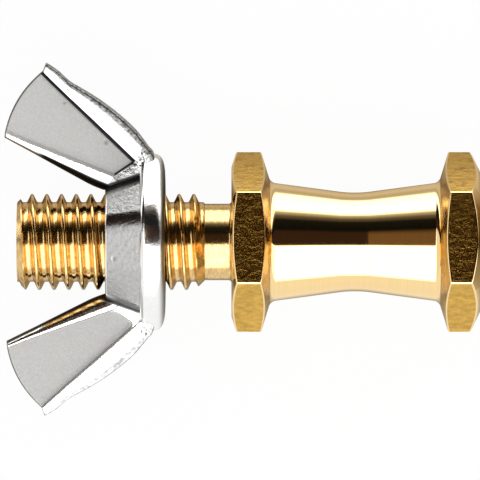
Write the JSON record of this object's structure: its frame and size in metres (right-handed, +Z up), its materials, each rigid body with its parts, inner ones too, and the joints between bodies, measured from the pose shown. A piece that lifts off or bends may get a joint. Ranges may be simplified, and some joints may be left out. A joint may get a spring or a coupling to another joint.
{
  "type": "camera stud",
  "caption": "Brass hexagon spigot with a waisted barrel and a threaded shank, and a die-cast wing nut that clamps a fitting against its shoulder.",
  "frame": {"origin": "centre of the shoulder that a clamped fitting seats on, on the stud's axis", "axes": "+X along the axis from the threaded shank to the spigot's end, +Z up, square to the hexagon flats that the stud lies on, and +Y towards the raised wing of the nut"},
  "size_m": [0.0487, 0.0362, 0.016],
  "materials": {
    "brass": "polished",
    "plated_casting": "polished"
  },
  "bodies": {
    "stud": {"stud": "brass"},
    "wing_nut": {"wing_nut": "plated_casting"}
  },
  "joints": [
    {"name": "nut_travel", "type": "slide", "parent": "stud", "child": "wing_nut", "axis": [1, 0, 0], "range_m": [-0.009, 0.0067]}
  ]
}
